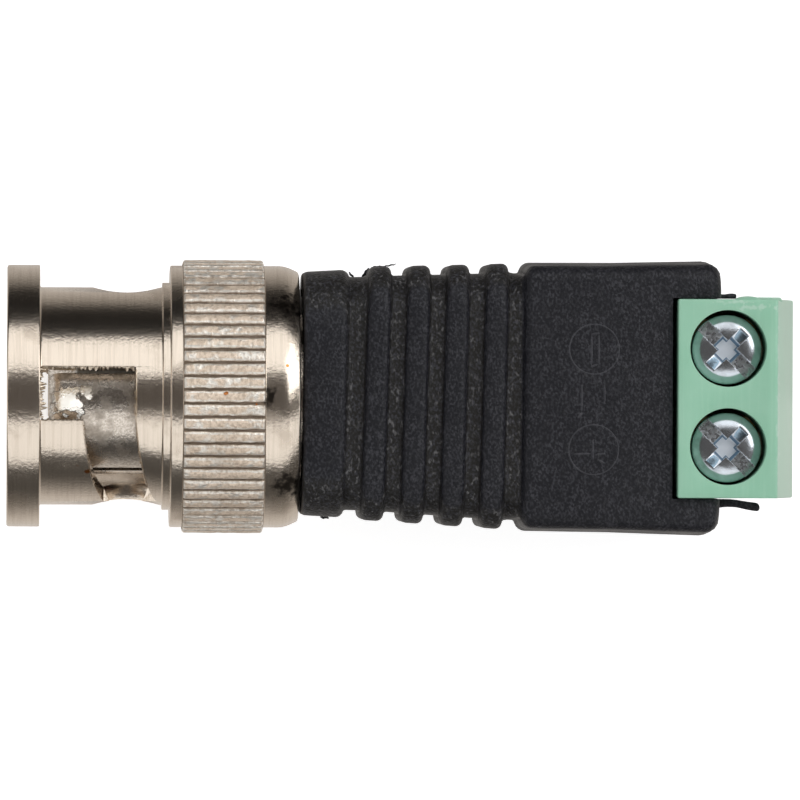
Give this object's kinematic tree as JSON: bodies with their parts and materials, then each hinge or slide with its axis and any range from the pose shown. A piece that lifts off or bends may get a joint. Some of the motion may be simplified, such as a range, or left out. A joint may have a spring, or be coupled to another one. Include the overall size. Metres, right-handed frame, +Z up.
{
  "type": "bnc screw terminal adapter",
  "caption": "Bayonet plug joined by a ribbed moulded body to a screw terminal block, for ending a coaxial line on bare wires.",
  "frame": {"origin": "on the surface that the adapter lies on, under the middle of its bounding box", "axes": "+X runs along the plug's axis from the mating face to the wire entries, and +Z points up out of the screw heads"},
  "size_m": [0.041, 0.0144, 0.0143],
  "materials": {
    "nickel": "bright nickel plating over turned metal",
    "spring_steel": "plain spring steel",
    "gasket_rubber": "silicone rubber",
    "dielectric": "white dielectric",
    "gold": "gold flash on brass",
    "black_moulding": "black soft plastic, finely speckled",
    "green_moulding": "pale green moulded plastic",
    "brass": "plain brass",
    "zinc": "blue passivated zinc plating",
    "tinned_copper": "tinned copper",
    "red_insulation": "red wire insulation",
    "black_insulation": "black wire insulation",
    "solder": "solder"
  },
  "bodies": {
    "adapter_body": {"moulded_body": "black_moulding", "plug_body": "nickel", "insulator": "dielectric", "center_pin": "gold", "gasket": "gasket_rubber", "wave_washer": "spring_steel", "terminal_housing": "green_moulding", "clamp_frame_plus": "brass", "clamp_frame_minus": "brass", "signal_wire": "tinned_copper", "ground_wire": "tinned_copper", "signal_insulation": "red_insulation", "ground_insulation": "black_insulation", "solder_center": "solder", "solder_ground": "solder", "solder_plus": "solder", "solder_minus": "solder"},
    "nut_carrier": {"thrust_washer": "spring_steel"},
    "nut": {"coupling_nut": "nickel"},
    "guard_plus": {"wire_guard_plus": "spring_steel"},
    "screw_plus": {"terminal_screw_plus": "zinc"},
    "guard_minus": {"wire_guard_minus": "spring_steel"},
    "screw_minus": {"terminal_screw_minus": "zinc"}
  },
  "joints": [
    {"name": "nut_draw", "type": "slide", "parent": "adapter_body", "child": "nut_carrier", "axis": [-1, 0, 0], "range_m": [0, 0.00055], "stiffness_N_per_m": 12000, "springref_m": -0.0003, "deforming": ["wave_washer"]},
    {"name": "nut_turn", "type": "hinge", "parent": "nut_carrier", "child": "nut", "pos_m": [-0.0095, 0, 0.00713], "axis": [1, 0, 0], "continuous": true},
    {"name": "guard_plus_slide", "type": "slide", "parent": "adapter_body", "child": "guard_plus", "axis": [0, 0, -1], "range_m": [0, 0.0024]},
    {"name": "screw_plus_turn", "type": "hinge", "parent": "guard_plus", "child": "screw_plus", "pos_m": [0.01677, -0.00254, 0.0105], "axis": [0, 0, -1], "range_deg": [0, 1728]},
    {"name": "guard_minus_slide", "type": "slide", "parent": "adapter_body", "child": "guard_minus", "axis": [0, 0, -1], "range_m": [0, 0.0024]},
    {"name": "screw_minus_turn", "type": "hinge", "parent": "guard_minus", "child": "screw_minus", "pos_m": [0.01677, 0.00254, 0.0105], "axis": [0, 0, -1], "range_deg": [0, 1728]}
  ],
  "couplings": [
    {"joint": "screw_plus_turn", "follows": "guard_plus_slide", "rad_per_m": 12566},
    {"joint": "screw_minus_turn", "follows": "guard_minus_slide", "rad_per_m": 12566}
  ]
}
